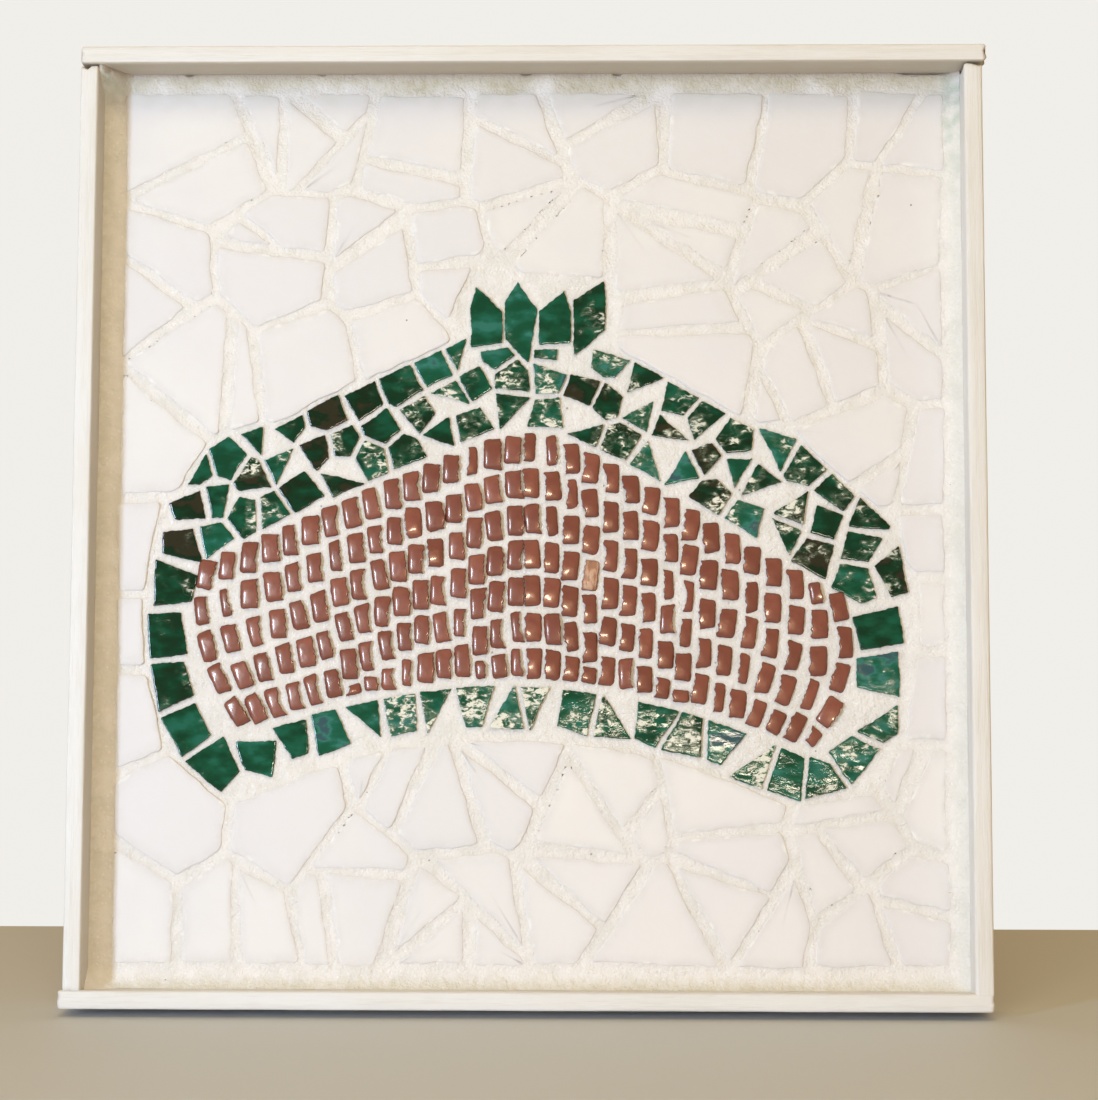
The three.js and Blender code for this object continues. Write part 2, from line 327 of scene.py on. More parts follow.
def lay_paving():
    dice = Dice(PAVING_SEED)
    blocks = border_blocks()
    placed, mirrored = plate_sites(dice, blocks)
    bounds = [(PAVED_LEFT, PAVED_BOTTOM), (PAVED_RIGHT, PAVED_BOTTOM)]
    bounds += [(PAVED_RIGHT, PAVED_TOP), (PAVED_LEFT, PAVED_TOP)]
    broken = []
    for site in placed:
        plate = cell_of(site, placed + mirrored, bounds)
        for outline, outside in blocks:
            if len(plate) > 2:
                plate = clear_of(plate, outline, outside)
        if len(plate) > 2 and area_of(plate) >= SMALLEST_PLATE:
            broken += snap(plate, dice)
    shards = [nibble(without_short_sides(piece), dice, 0.9, 2.3) for piece in broken]
    return [shard for shard in shards if len(shard) > 2 and area_of(shard) > SMALLEST_WHITE]


# ---- brown tiles, in columns that fan out under the arch ----
COLUMNS = 32
COLUMN_FOOT, COLUMN_HEAD = (-95.5, 93.5), (-108.5, 102.5)  # x of the first and last column
TILE_LONG, TILE_GAP = 10, 2.1
PAIR, PAIR_SHIFT = (15, 16), 0.35  # two columns laid as whole tiles, snapped and kept together
COLUMN_BOW = 15  # how far the end columns bow out
COLUMN_IN, END_COLUMN_IN = 0.6, 2.6  # how far the tiles start inside the field
SHORTEST_TILE, MOST_SLACK = 3.4, 0.9


def column_line(number):
    """Points down the middle of a column, which bows out at the motif's ends."""
    u = number / (COLUMNS - 1)
    foot_x = COLUMN_FOOT[0] + u * (COLUMN_FOOT[1] - COLUMN_FOOT[0])
    head_x = COLUMN_HEAD[0] + u * (COLUMN_HEAD[1] - COLUMN_HEAD[0])
    foot_z = field_bottom(foot_x) + (END_COLUMN_IN if number in (0, COLUMNS - 1) else COLUMN_IN)
    head_z = min(field_top(head_x), end_span(head_x, FIELD_ENDS)[1] + 3) - COLUMN_IN
    middle_x = (foot_x + head_x) / 2 + COLUMN_BOW * (2 * u - 1) ** 5
    middle_z = (foot_z + head_z) / 2
    t = np.linspace(0, 1, 61)
    x = (1 - t) ** 2 * head_x + 2 * t * (1 - t) * middle_x + t * t * foot_x
    z = (1 - t) ** 2 * head_z + 2 * t * (1 - t) * middle_z + t * t * foot_z
    return x, z


def column_lengths(total, number):
    """The lengths of a column's tiles from the top down, and the gap between them."""
    pitch = TILE_LONG + TILE_GAP
    full = int((total + TILE_GAP) / pitch)
    rest = total - full * pitch
    lengths = [TILE_LONG] * full
    if rest > SHORTEST_TILE:
        lengths.insert(0 if number * 7 % 5 == 0 else full, rest)
        return lengths, TILE_GAP
    return lengths, min(TILE_GAP + (rest + TILE_GAP) / max(1, full - 1), TILE_GAP + MOST_SLACK)


def lay_columns():
    """Each brown half tile: middle, width, length, lean, the side that was cut (1 is right), and column."""
    dice = Dice(5)
    tiles = []
    for number in range(COLUMNS):
        x, z = column_line(number)
        x = x + PAIR_SHIFT * ((number == PAIR[0]) - (number == PAIR[1]))
        walked = np.concatenate([[0], np.cumsum(np.hypot(np.diff(x), np.diff(z)))])
        lengths, gap = column_lengths(walked[-1], number)
        down = 0
        for length in lengths:
            ends = [down, down + length]
            (ax, bx), (az, bz) = np.interp(ends, walked, x), np.interp(ends, walked, z)
            share = (down + length / 2) / walked[-1]
            head, foot = COLUMN_HEAD[1] - COLUMN_HEAD[0], COLUMN_FOOT[1] - COLUMN_FOOT[0]
            width = (head * (1 - share) + foot * share) / (COLUMNS - 1) - dice.between(0.8, 1.7)
            if dice.roll() < 0.12:
                width *= dice.between(0.62, 0.8)
            lean = atan2(ax - bx, az - bz) + dice.between(-0.1, 0.1)
            mx = (ax + bx) / 2 + dice.between(-0.25, 0.25)
            mz = (az + bz) / 2 + dice.between(-0.3, 0.3)
            cut_side = (1 if number < PAIR[1] else -1) * (-1 if dice.roll() < 0.07 else 1)
            tiles.append((mx, mz, width, length * dice.between(0.95, 1.04), lean, cut_side, number))
            down += length + gap
    return tiles


# ---- green glass, in rings round the field and a crown ----
RINGS = ((7.6, 12.5), (18.8, 12), (29.5, 12.5))  # distance out from the field, and pitch along it
END_PITCH, END_START, END_HEIGHT = 16, 99, -8  # the single row round each end, out from and below these
OUTER_LEFT, OUTER_RIGHT = -122, 124  # the outer rings stop here
SITES_APART = 7
REACH_BELOW, REACH_ABOVE = 10.5, 9.5  # how far a shard reaches from its middle, below and above the field
GREEN_CLEAR = 0.9  # how far a cell keeps from the white shards and the crown
SMALLEST_CELL, SMALLEST_GREEN = 22, 16
CROWN_BASE = 60.5
CROWN_SHAPES = ((0.15, 0, 1.5), (0.4, 3, -5), (0.8, 1, 1.5), (0.95, -3, 6))  # tip across, each foot up


def ring_line(out_by):
    """A closed line round the field at a distance."""
    turn = (1 - np.cos(np.linspace(0, pi, 401))) / 2
    xs = FIELD_STATIONS[0] + (FIELD_STATIONS[-1] - FIELD_STATIONS[0]) * turn
    spans = [field_span(x) for x in xs]
    top = [(x, high) for x, (_, high) in zip(xs, spans)]
    bottom = [(x, low) for x, (low, _) in zip(xs, spans)]
    loop = np.array(top + bottom[::-1])
    along = np.roll(loop, -3, 0) - np.roll(loop, 3, 0)
    along /= np.maximum(np.linalg.norm(along, axis=1), 1e-9)[:, None]
    return [(x - dz * out_by, z + dx * out_by) for (x, z), (dx, dz) in zip(loop.tolist(), along.tolist())]


def border_sites(dice):
    placed = []
    for ring, (out_by, pitch) in enumerate(RINGS):
        line = ring_line(out_by)
        walked = pitch * 0.5 * ring
        for (lx, lz), (x, z) in zip(line, line[1:] + line[:1]):
            walked += hypot(x - lx, z - lz)
            step = END_PITCH if abs(x) > END_START and z < END_HEIGHT else pitch
            if walked < step:
                continue
            walked -= step * dice.between(0.9, 1.1)
            wander = 1 if step == END_PITCH else 2.4
            x, z = x + dice.between(-wander, wander), z + dice.between(-wander, wander)
            wanted = ring == 0 or (z > field_top(x) + 2 and OUTER_LEFT < x < OUTER_RIGHT)
            if wanted and all(hypot(x - sx, z - sz) > SITES_APART for sx, sz in placed):
                placed.append((x, z))
    return placed


def crown_shards(dice):
    """Tall shards side by side, each pointed at its top and set on a slanted foot."""
    pitch = (CROWN_RIGHT - CROWN_LEFT) / len(CROWN_SHAPES)
    shards = []
    for number, (tip, foot_left, foot_right) in enumerate(CROWN_SHAPES):
        left = CROWN_LEFT + pitch * number + dice.between(0, 0.4)
        right = CROWN_LEFT + pitch * (number + 1) - dice.between(0.2, 0.7)
        top = CROWN_TOP - (0.7 if number % 2 else dice.between(2, 4))
        shards.append([
            (left, CROWN_BASE + foot_left),
            (right - (3 if foot_right < 0 else 0), CROWN_BASE + foot_right),
            (right, CROWN_BASE + dice.between(11, 15)),
            (left + (right - left) * tip, top),
            (left, top - dice.between(5, 9)),
        ])
    return shards


def keep_clear_blocks():
    """The field that the green glass is kept clear of, tighter round its ends."""
    stations = (-111.5,) + FIELD_STATIONS[2:-2] + (107,)

    def room(x):
        return 1.6 if abs(x) < 90 else 0.3

    return blocks_between(
        stations,
        lambda x: field_span(x)[0] - room(x),
        lambda x: field_span(x)[1] + room(x),
    )


def fewer_corners(outline, dice):
    """Drops corners until a few are left, the least missed first."""
    roll = dice.roll()
    fewest = 4 if abs(middle_of(outline)[0]) > 96 else 3
    want = fewest if roll < 0.32 else 4 if roll < 0.72 else 5
    corners = list(outline)
    while len(corners) > want:
        count = len(corners)
        ears = [area_of([corners[i - 1], corners[i], corners[(i + 1) % count]]) for i in range(count)]
        corners.pop(ears.index(min(ears)))
    return corners


def lay_border(paving):
    dice = Dice(9)
    placed = border_sites(dice)
    bounds = [(-132, -100), (132, -100), (132, 92), (-132, 92)]
    field = keep_clear_blocks()
    crown = crown_shards(dice)
    cells = []
    for site in placed:
        cell = cell_of(site, placed, bounds)
        reach = REACH_BELOW if site[1] < field_top(site[0]) else REACH_ABOVE
        for k in range(10):
            turn = 2 * pi * k / 10 + 0.3
            cell = cut(cell, site[0] + cos(turn) * reach, site[1] + sin(turn) * reach, cos(turn), sin(turn))
        for outline, outside in field:
            if len(cell) > 2:
                cell = clear_of(cell, outline, outside)
        for shard in paving + crown:
            if len(cell) > 2:
                cell = clear_of(cell, grown(shard, GREEN_CLEAR), range(len(shard)))
        if len(cell) > 2 and area_of(cell) >= SMALLEST_CELL:
            cells.append(cell)
    shards = []
    for cell in cells:
        shard = nibble(without_short_sides(cell), dice, 0.55, 1.15)
        if len(shard) > 2 and area_of(shard) >= SMALLEST_GREEN:
            shards.append(fewer_corners(shard, dice))
    return [shard for shard in shards if area_of(shard) >= SMALLEST_GREEN] + crown


# ---- ragged loops, as hand-nipped glass has ----
def swell(points, size, seed):
    """Noise of about one size at each point, from -1 to 1."""
    return np.array([noise.noise(Vector((x / size, z / size, seed))) for x, z in points])


def ragged(corners, radii, step, wave, chip, seed):
    """A closed loop of points round rounded corners, with long waves and small chips in its sides."""
    loop = []
    count = len(corners)
    reach = [min(radii[i], 0.35 * hypot(corners[i][0] - corners[j][0], corners[i][1] - corners[j][1]))
             for i in range(count) for j in (i - 1, (i + 1) % count)]
    for i, corner in enumerate(corners):
        here, before, after = Vector(corner), Vector(corners[i - 1]), Vector(corners[(i + 1) % count])
        start = here + (before - here).normalized() * min(reach[2 * i:2 * i + 2])
        stop = here + (after - here).normalized() * min(reach[2 * i:2 * i + 2])
        for k in range(4):
            t = k / 4
            loop.append((1 - t) ** 2 * start + 2 * t * (1 - t) * here + t * t * stop)
        after_i = (i + 1) % count
        far = after + (here - after).normalized() * min(reach[2 * after_i:2 * after_i + 2])
        pieces = max(1, ceil((far - stop).length / step))
        loop += [stop.lerp(far, k / pieces) for k in range(pieces)]
    points = np.array([tuple(p) for p in loop])
    shifts = wave * swell(points, 7, seed) + chip * swell(points, 1.1, seed + 7)
    return points + outward(points, 1) * shifts[:, None]


def outward(loop, spread):
    along = np.roll(loop, -spread, 0) - np.roll(loop, spread, 0)
    normal = np.stack([along[:, 1], -along[:, 0]], 1)
    return normal / np.maximum(np.linalg.norm(normal, axis=1), 1e-9)[:, None]


# ---- meshes ----
class Pile:
    """Closed bodies gathered into one mesh, with a value of each attribute at each point."""

    def __init__(self, *attributes):
        self.points, self.faces = [], []
        self.values = {name: [] for name in attributes}
        self.count = 0

    def add(self, points, faces, **values):
        self.points.append(points)
        self.faces += [[i + self.count for i in face] for face in faces]
        for name, given in values.items():
            self.values[name].append(np.broadcast_to(given, len(points)))
        self.count += len(points)

    def make(self, name, slot, material, replaced=(), sharp=40):
        mesh = bpy.data.meshes.new(name)
        mesh.from_pydata((np.concatenate(self.points) * MM).tolist(), [], self.faces)
        for attribute, given in self.values.items():
            layer = mesh.attributes.new(attribute, "FLOAT", "POINT")
            layer.data.foreach_set("value", np.concatenate(given).astype(np.float32))
        mesh.polygons.foreach_set("use_smooth", [True] * len(mesh.polygons))
        mesh.set_sharp_from_angle(angle=radians(sharp))
        mesh.materials.append(material)
        mesh.update()
        piece = bpy.data.objects.new(name, mesh)
        bpy.context.collection.objects.link(piece)
        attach(piece, "root")
        if replaced:
            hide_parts(*replaced)


def raised(places, heights):
    """Points across the panel, raised from the back of the grout towards the viewer."""
    return np.stack([places[:, 0], BACK_Y - heights, places[:, 1]], 1)


def ring_faces(rings, n):
    """The faces between rings of n points each."""
    around = [(i, (i + 1) % n) for i in range(n)]
    firsts = [k * n for k in range(rings - 1)]
    return [[first + i, first + j, first + n + j, first + n + i] for first in firsts for i, j in around]


def tile_body(loop, base, face, bevel, step, fade=1.5, drop=None):
    """A closed tile inside a loop: walls, a bevel that drops at the edge, and a face as high as face() says.
    Returns its places, heights and faces, and how near each point is to the edge, 1 on the walls."""
    drop = drop or bevel
    inner = loop - outward(loop, 3) * bevel
    middle = loop.mean(0)
    spread = float(np.linalg.norm(inner - middle, axis=1).mean())
    count = max(3, int(spread / step))
    rings = [loop, loop, loop * 0.7 + inner * 0.3]
    rings += [inner + (middle - inner) * (k / count) for k in range(count)]
    n = len(loop)
    places = np.concatenate(rings + [middle[None]])
    heights = face(places)
    heights[:n] = base
    heights[n:2 * n] -= drop
    heights[2 * n:3 * n] -= drop * 0.4
    fading = [max(0, 0.9 - k / count * spread / fade) for k in range(count)]
    near = np.append(np.repeat([1, 1, 0.95] + fading, n), 0)
    faces = ring_faces(len(rings), n)
    last = (len(rings) - 1) * n
    faces += [[last + i, last + (i + 1) % n, last + n] for i in range(n)]
    faces.append(list(range(n))[::-1])
    return places, heights, faces, near


# ---- node helpers, which find a socket's node tree from the socket itself ----
COLOUR, VALUE, VECTOR = "NodeSocketColor", "NodeSocketFloat", "NodeSocketVector"
BLACK, WHITE = (0, 0, 0, 1), (1, 1, 1, 1)


def is_socket(value):
    return isinstance(value, bpy.types.NodeSocket)


def tree_of(*values):
    return next(value for value in values if is_socket(value)).id_data


def link(value, socket):
    socket.id_data.links.new(value, socket)


def node(tree, kind, inputs=(), **settings):
    """A node with its inputs linked or set. Colours are given without their fourth number."""
    made = tree.nodes.new(kind)
    for name, value in settings.items():
        setattr(made, name, value)
    for name, value in dict(inputs).items():
        socket = made.inputs[name]
        if is_socket(value):
            link(value, socket)
        else:
            socket.default_value = (*value, 1) if socket.type == "RGBA" else value
    return made


def mixed(factor, first, second):
    """The output of a colour mix."""
    made = node(tree_of(factor, first, second), "ShaderNodeMix", data_type="RGBA")
    for index, value in ((0, factor), (6, first), (7, second)):
        if is_socket(value):
            link(value, made.inputs[index])
        else:
            made.inputs[index].default_value = (*value, 1) if index else value
    return made.outputs[2]


def math(operation, first, second, clamp=False):
    settings = {"operation": operation, "use_clamp": clamp}
    return node(tree_of(first, second), "ShaderNodeMath", {0: first, 1: second}, **settings).outputs[0]


def plus(first, second):
    return math("ADD", first, second)


def minus(first, second):
    return math("SUBTRACT", first, second)


def times(first, second, clamp=False):
    return math("MULTIPLY", first, second, clamp)


def ramp(value, low, high):
    """0 below low, 1 above high, smooth between."""
    limits = {"Value": value, "From Min": low, "From Max": high}
    return node(value.id_data, "ShaderNodeMapRange", limits, interpolation_type="SMOOTHSTEP").outputs[0]


def palette(value, *stops):
    """A colour picked from a row of stops by a value from 0 to 1."""
    made = node(value.id_data, "ShaderNodeValToRGB", {"Fac": value})
    elements = made.color_ramp.elements
    while len(elements) < len(stops):
        elements.new(0.5)
    for element, (position, colour) in zip(elements, stops):
        element.position = position
        element.color = (*colour, 1)
    return made.outputs["Color"]


def place(tree):
    return node(tree, "ShaderNodeTexCoord").outputs["Object"]


def stretched(at, stretch):
    return node(at.id_data, "ShaderNodeVectorMath", {0: at, 1: stretch}, operation="MULTIPLY").outputs[0]


def clouds(at, scale, detail, **more):
    given = {"Vector": at, "Scale": scale, "Detail": detail, **more}
    return node(at.id_data, "ShaderNodeTexNoise", given).outputs[0]


def bump(height, depth):
    return node(height.id_data, "ShaderNodeBump", {"Height": height, "Distance": depth * MM}).outputs[0]


def attribute(tree, name):
    return node(tree, "ShaderNodeAttribute", attribute_name=name).outputs["Fac"]


# ---- shared effects, as node groups ----
def group(name, inputs, outputs):
    tree = bpy.data.node_groups.new(name, "ShaderNodeTree")
    for label, kind, value in inputs:
        socket = tree.interface.new_socket(label, in_out="INPUT", socket_type=kind)
        socket.default_value = value
    for label, kind in outputs:
        tree.interface.new_socket(label, in_out="OUTPUT", socket_type=kind)
    return tree, tree.nodes.new("NodeGroupInput").outputs, tree.nodes.new("NodeGroupOutput").inputs


def mottle_group():
    """Cloudy patches of a second colour over a first."""
    tree, given, out = group(
        "mottle",
        [("Base", COLOUR, BLACK), ("Patch", COLOUR, WHITE), ("Amount", VALUE, 0.5), ("Size", VALUE, 100.0),
         ("Stretch", VECTOR, (1, 1, 1))],
        [("Colour", COLOUR), ("Mask", VALUE)],
    )
    broad = clouds(stretched(place(tree), given["Stretch"]), given["Size"], 3.0)
    mask = times(ramp(broad, 0.35, 0.7), given["Amount"], clamp=True)
    link(mixed(mask, given["Base"], given["Patch"]), out["Colour"])
    link(mask, out["Mask"])
    return tree


def grain_group():
    """Height from fine grain over soft swells, and the fine grain alone."""
    tree, given, out = group(
        "grain",
        [("Fine Size", VALUE, 2000.0), ("Soft Size", VALUE, 200.0), ("Fine Share", VALUE, 0.5),
         ("Stretch", VECTOR, (1, 1, 1))],
        [("Height", VALUE), ("Fine", VALUE)],
    )
    at = stretched(place(tree), given["Stretch"])
    fine = clouds(at, given["Fine Size"], 4.0)
    link(plus(times(fine, given["Fine Share"]), clouds(at, given["Soft Size"], 2.0)), out["Height"])
    link(fine, out["Fine"])
    return tree


def specks_group():
    """Small round specks scattered over a surface."""
    tree, given, out = group(
        "specks",
        [("Size", VALUE, 800.0), ("Radius", VALUE, 0.2), ("Share", VALUE, 0.3)],
        [("Mask", VALUE)],
    )
    cells = node(tree, "ShaderNodeTexVoronoi", {"Vector": place(tree), "Scale": given["Size"]}).outputs
    chance = node(tree, "ShaderNodeSeparateColor", {"Color": cells["Color"]}).outputs[0]
    near = math("LESS_THAN", cells["Distance"], given["Radius"])
    link(times(near, math("LESS_THAN", chance, given["Share"])), out["Mask"])
    return tree


def glints_group():
    """Ripples in glass: a dull sheen in broad patches, and bright glints where the ripples crest in them."""
    tree, given, out = group(
        "glints",
        [("Patch Size", VALUE, 150.0), ("Ripple Size", VALUE, 520.0), ("Amount", VALUE, 1.0),
         ("Stretch", VECTOR, (1, 1, 1))],
        [("Sheen", VALUE), ("Glint", VALUE), ("Height", VALUE)],
    )
    at = place(tree)
    lifted = plus(clouds(at, given["Patch Size"], 1.0), times(minus(given["Amount"], 0.6), 0.32))
    patch = times(ramp(lifted, 0.44, 0.6), times(given["Amount"], 1.5), clamp=True)
    along = stretched(at, given["Stretch"])
    ripple = clouds(along, given["Ripple Size"], 3.0, Roughness=0.62, Distortion=0.6)
    broken = plus(lifted, times(minus(ripple, 0.5), 1.5))
    link(times(ramp(ripple, 0.40, 0.58), patch), out["Sheen"])
    link(times(ramp(broken, 0.66, 0.84), patch), out["Glint"])
    link(times(ripple, plus(0.3, times(patch, 0.7))), out["Height"])
    return tree


MOTTLE, GRAIN, SPECKS, GLINTS = mottle_group(), grain_group(), specks_group(), glints_group()


def use(tree, made, inputs):
    return node(tree, "ShaderNodeGroup", inputs, node_tree=made).outputs


def mottled(tree, base, patch, amount, size):
    return use(tree, MOTTLE, {"Base": base, "Patch": patch, "Amount": amount, "Size": size})["Colour"]


def patches(tree, amount, size, stretch=(1, 1, 1)):
    return use(tree, MOTTLE, {"Amount": amount, "Size": size, "Stretch": stretch})["Mask"]


def grain(tree, fine, soft, share, stretch=(1, 1, 1)):
    return use(tree, GRAIN, {"Fine Size": fine, "Soft Size": soft, "Fine Share": share, "Stretch": stretch})


def specks(tree, size, radius, share):
    return use(tree, SPECKS, {"Size": size, "Radius": radius, "Share": share})["Mask"]


# ---- finishes ----
def finish(name):
    """A new material, its node tree, and the inputs of its surface shader."""
    material = bpy.data.materials.new(name)
    material.use_nodes = True
    tree = material.node_tree
    return material, tree, tree.nodes["Principled BSDF"].inputs


def grout_finish():
    """Matt cream cement with sparkling sand, pinholes in painted shade, and stains and soiling with painted
    shade and smears where the mesh says.
    """
    material, tree, shader = finish("cream_grout")
    cream = mottled(tree, (0.88, 0.845, 0.825), (0.795, 0.765, 0.73), 0.8, 150.0)
    sand, shaded_pits = specks(tree, 850.0, 0.33, 0.2), specks(tree, 240.0, 0.09, 0.05)
    sanded = mixed(times(sand, 0.5), cream, (0.95, 0.95, 0.93))
    smeared = mixed(attribute(tree, "smear"), sanded, (0.59, 0.63, 0.57))
    # stains with painted shade along the strips and under the top rail
    grout_stain_shaded = mixed(times(attribute(tree, "stain_and_shade"), 0.85), smeared, (0.57, 0.52, 0.36))
    # soiling with painted shade by the tiles and under the top rail
    shaded = mixed(attribute(tree, "dirt_and_shade"), grout_stain_shaded, (0.42, 0.34, 0.29))
    # pinholes darkened as painted shade
    link(mixed(times(shaded_pits, 0.6), shaded, (0.22, 0.17, 0.12)), shader["Base Color"])
    link(bump(minus(grain(tree, 1200.0, 450.0, 0.8)["Height"], shaded_pits), 0.6), shader["Normal"])
    link(minus(0.85, times(sand, 0.3)), shader["Roughness"])
    return material


def white_glass_finish():
    """Opaque white glass with painted shade and chips painted as highlights along its edges, a few dark dots,
    and darker near the top.
    """
    material, tree, shader = finish("white_glass")
    clouded = mottled(tree, (0.85, 0.82, 0.80), (0.80, 0.775, 0.785), 0.8, 30.0)
    toned = mixed(times(attribute(tree, "tone"), 0.9), clouded, (0.795, 0.768, 0.785))
    rim = attribute(tree, "rim")
    uneven = ramp(grain(tree, 900.0, 160.0, 0.7)["Height"], 0.5, 1.1)
    # painted shade along the glass edges, uneven in strength
    edge_shaded = mixed(times(rim, times(uneven, 0.65), clamp=True), toned, (0.73, 0.695, 0.685))
    # chips along the edges, made paler as painted highlights
    flakes = ramp(grain(tree, 190.0, 200.0, 0.5)["Fine"], 0.56, 0.68)
    chips = times(ramp(rim, 0.55, 0.95), flakes, clamp=True)
    with_chip_highlights = mixed(times(chips, 0.8), edge_shaded, (0.91, 0.895, 0.87))
    # darker towards the top of the paving
    darkened_at_top = mixed(times(attribute(tree, "haze"), 0.75), with_chip_highlights, (0.72, 0.71, 0.66))
    link(mixed(times(specks(tree, 70.0, 0.022, 0.15), 0.8), darkened_at_top, (0.16, 0.13, 0.12)), shader["Base Color"])
    link(plus(0.42, times(rim, 0.3)), shader["Roughness"])
    shader["Specular IOR Level"].default_value = 0.4
    link(bump(grain(tree, 700.0, 120.0, 0.05)["Height"], 0.15), shader["Normal"])
    return material


def green_glass_finish():
    """Streaky glass from brown black through green to teal, with a painted sheen and painted glints on the
    ripples.
    """
    material, tree, shader = finish("green_glass")
    streak = patches(tree, 1.0, 110.0, (1, 1, 1.8))
    glass = palette(
        plus(attribute(tree, "tone"), times(minus(streak, 0.45), 0.42)),
        (0.0, (0.032, 0.030, 0.017)), (0.1, (0.008, 0.025, 0.011)), (0.36, (0.006, 0.045, 0.021)),
        (0.62, (0.010, 0.092, 0.048)), (0.80, (0.018, 0.130, 0.086)), (0.92, (0.045, 0.200, 0.155)),
        (1.0, (0.045, 0.100, 0.115)),
    )
    ripples = use(tree, GLINTS, {"Amount": attribute(tree, "foil"), "Stretch": (0.7, 1, 1.25)})
    # painted sheen and painted glints where the ripples catch the light
    with_painted_sheen = mixed(times(ripples["Sheen"], 0.6), glass, (0.18, 0.235, 0.16))
    link(mixed(times(ripples["Glint"], 0.9), with_painted_sheen, (0.88, 0.85, 0.74)), shader["Base Color"])
    link(plus(0.09, times(ripples["Glint"], 0.3)), shader["Roughness"])
    link(bump(ripples["Height"], 0.16), shader["Normal"])
    shader["Specular IOR Level"].default_value = 0.4
    return material


def brown_glaze_finish():
    """Glossy red brown glaze with painted shade on its walls and rounded edges, and the scored bare clay of a
    tile laid face down.
    """
    material, tree, shader = finish("brown_glaze")
    pooled = patches(tree, 0.5, 260.0)
    body = mixed(attribute(tree, "tone"), (0.205, 0.060, 0.042), (0.285, 0.090, 0.063))
    glazed = mixed(pooled, body, (0.18, 0.05, 0.04))
    scored = grain(tree, 420.0, 260.0, 1.2, (1.5, 1, 0.7))
    clay = mixed(ramp(scored["Fine"], 0.42, 0.62), (0.42, 0.21, 0.13), (0.66, 0.43, 0.31))
    bare = attribute(tree, "pale")
    # painted shade on the tiles' walls and outer edges, where they drop into the joints
    walls = times(ramp(attribute(tree, "rim"), 0.7, 1.0), 0.8)
    link(mixed(walls, mixed(bare, glazed, clay), (0.10, 0.04, 0.03)), shader["Base Color"])
    link(plus(0.3, math("MAXIMUM", times(walls, 0.6), times(bare, 0.6))), shader["Roughness"])
    gloss = grain(tree, 1500.0, 520.0, 0.12)["Height"]
    link(bump(plus(gloss, times(times(bare, scored["Height"]), 9.0)), 0.06), shader["Normal"])
    link(minus(0.6, times(bare, 0.55)), shader["Coat Weight"])
    shader["Coat Roughness"].default_value = 0.1
    shader["Specular IOR Level"].default_value = 0.7
    shader["Specular Tint"].default_value = (1.0, 0.72, 0.5, 1)
    return material


def paint_finish(name, stretch):
    """Brushed white paint whose strokes run along a strip."""
    material, tree, shader = finish(name)
    white = mottled(tree, (0.82, 0.80, 0.785), (0.78, 0.745, 0.70), 0.6, 30.0)
    strokes = grain(tree, 2400.0, 500.0, 0.9, stretch)
    brushed = mixed(times(ramp(strokes["Height"], 0.9, 1.2), 0.3), white, (0.68, 0.64, 0.58))
    # painted shade on the inner faces, and soiling by open joints
    paint_stain_shaded = mixed(times(attribute(tree, "stain_and_shade"), 0.7), brushed, (0.46, 0.39, 0.29))
    link(mixed(attribute(tree, "wear"), paint_stain_shaded, (0.28, 0.18, 0.11)), shader["Base Color"])
    link(bump(strokes["Height"], 0.2), shader["Normal"])
    link(plus(0.4, times(strokes["Fine"], 0.25)), shader["Roughness"])
    return material


def board_finish():
    """Bare plywood whose grain runs up the panel."""
    material, tree, shader = finish("plywood")
    height = grain(tree, 900.0, 90.0, 0.5, (1, 1, 0.06))["Height"]
    wood = mixed(ramp(height, 0.55, 0.95), (0.56, 0.38, 0.21), (0.38, 0.23, 0.11))
    link(mixed(patches(tree, 0.5, 14.0, (1, 1, 0.4)), wood, (0.47, 0.30, 0.15)), shader["Base Color"])
    link(bump(height, 0.2), shader["Normal"])
    shader["Roughness"].default_value = 0.72
    return material


# ---- the glass and the tiles ----
PAVING = lay_paving()
BROWN = lay_columns()
GREEN = lay_border(PAVING)
TILE_TOP = GLASS_THICK  # the face of the glass, measured from the back of the grout
TILE_BASE = 0.3  # the foot of a tile's walls, in the grout
BROWN_PROUD = 0.95  # how far the brown tiles stand over the glass
PALE_AT = (23, -15)  # the tile nearest here was laid face down, and shows its bare body
white_glass, green_glass, brown_glaze = white_glass_finish(), green_glass_finish(), brown_glaze_finish()
WHITE_LOOPS, MOTIF_LOOPS = [], []


def white_shard(pile, corners, number):
    loop = ragged(corners, [1.6] * len(corners), 1.0, 0.8, 0.2, number * 3.1)
    WHITE_LOOPS.append(loop)
    tone = Dice(number * 77 + 5).roll()
    top = TILE_TOP + (tone - 0.5) * 0.3
    tilt_x, tilt_z = (tone * 7 % 1 - 0.5) * 0.012, (tone * 13 % 1 - 0.5) * 0.012
    mx, mz = middle_of(corners)

    def face(at):
        return top + tilt_x * (at[:, 0] - mx) + tilt_z * (at[:, 1] - mz) + 0.05 * swell(at, 14, number)

    places, heights, faces, near = tile_body(loop, TILE_BASE, face, 0.45, 1.4, 4.2, 0.28)
    # darker towards the top of the paving
    haze = np.clip((places[:, 1] - PAVED_TOP + 7) / 7 + 0.4 * swell(places, 5, 71), 0, 1)
    pile.add(raised(places, heights), faces, tone=tone, rim=near, haze=haze)


def lay_white():
    sizes = sorted((area_of(shard) for shard in PAVING), reverse=True)
    smallest = sizes[len(SHARD_NODES) - 1]
    nodes = iter(SHARD_NODES)
    small = Pile("tone", "rim", "haze")
    for number, corners in enumerate(PAVING):
        if area_of(corners) >= smallest:
            name = next(nodes)
            pile = Pile("tone", "rim", "haze")
            white_shard(pile, corners, number)
            pile.make(name.replace("white_shard", "white_glass"), "white_glass", white_glass, [name])
        else:
            white_shard(small, corners, number)
    small.make("white_glass_small_shards", "white_glass", white_glass)


